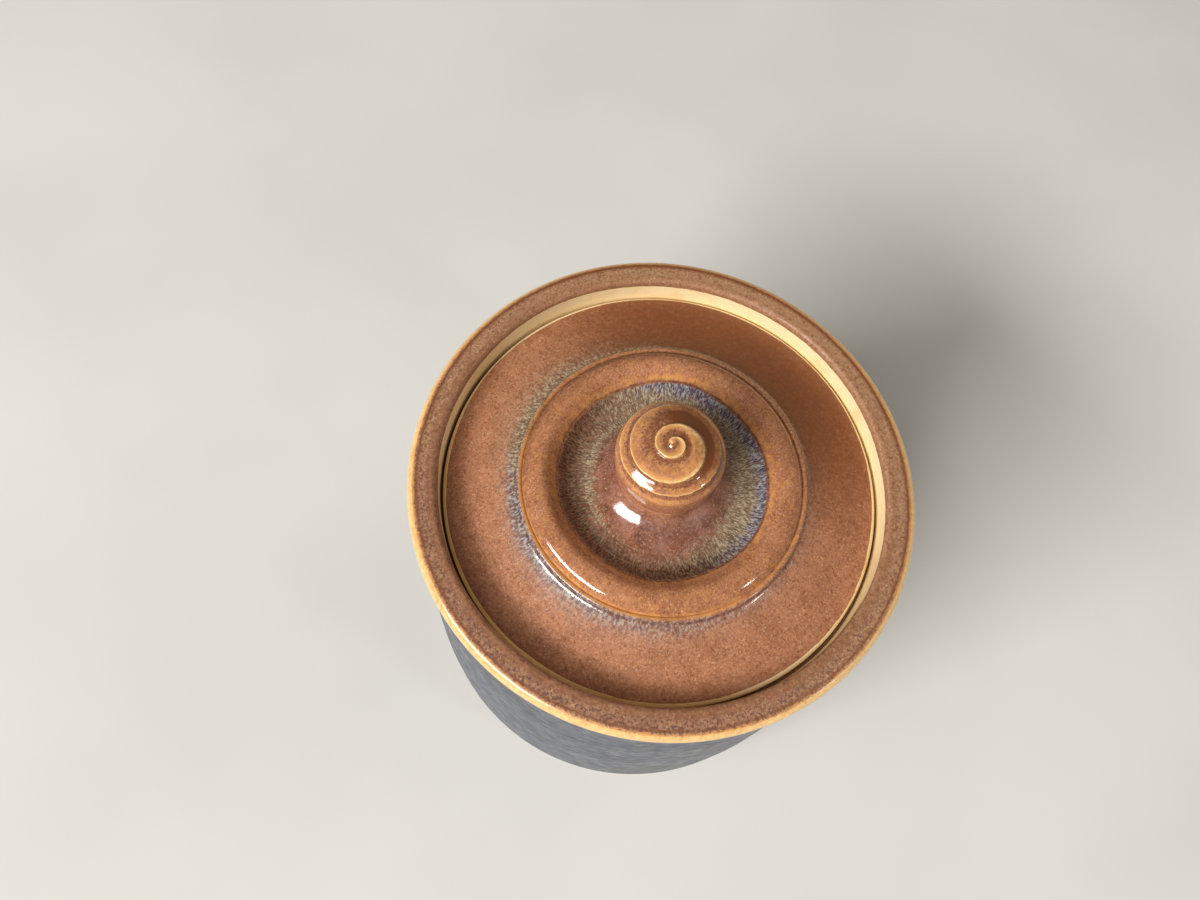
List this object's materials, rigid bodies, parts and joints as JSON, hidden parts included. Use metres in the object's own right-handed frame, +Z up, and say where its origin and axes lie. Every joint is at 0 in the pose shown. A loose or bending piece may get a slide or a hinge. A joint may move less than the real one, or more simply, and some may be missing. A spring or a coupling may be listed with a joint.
{
  "type": "cookie jar",
  "caption": "Wheel-thrown stoneware jar with a swelling body, a gallery inside its rim and a lift-off lid with a raised ring and a spiral-topped knob.",
  "frame": {"origin": "centre of the foot ring, on the table", "axes": "+Z up along the throwing axis; +X to the viewer's right and +Y away from the viewer in the picture"},
  "size_m": [0.1896, 0.1896, 0.2129],
  "materials": {
    "slate_glaze": "satin",
    "amber_glaze": "gloss",
    "honey_glaze": "gloss"
  },
  "bodies": {
    "jar": {"jar": "slate_glaze"},
    "lid": {"lid": "amber_glaze", "knob": "honey_glaze"}
  },
  "joints": [
    {"name": "lid_lift", "type": "slide", "parent": "jar", "child": "lid", "axis": [0, 0, 1], "range_m": [0, 0.12]}
  ]
}
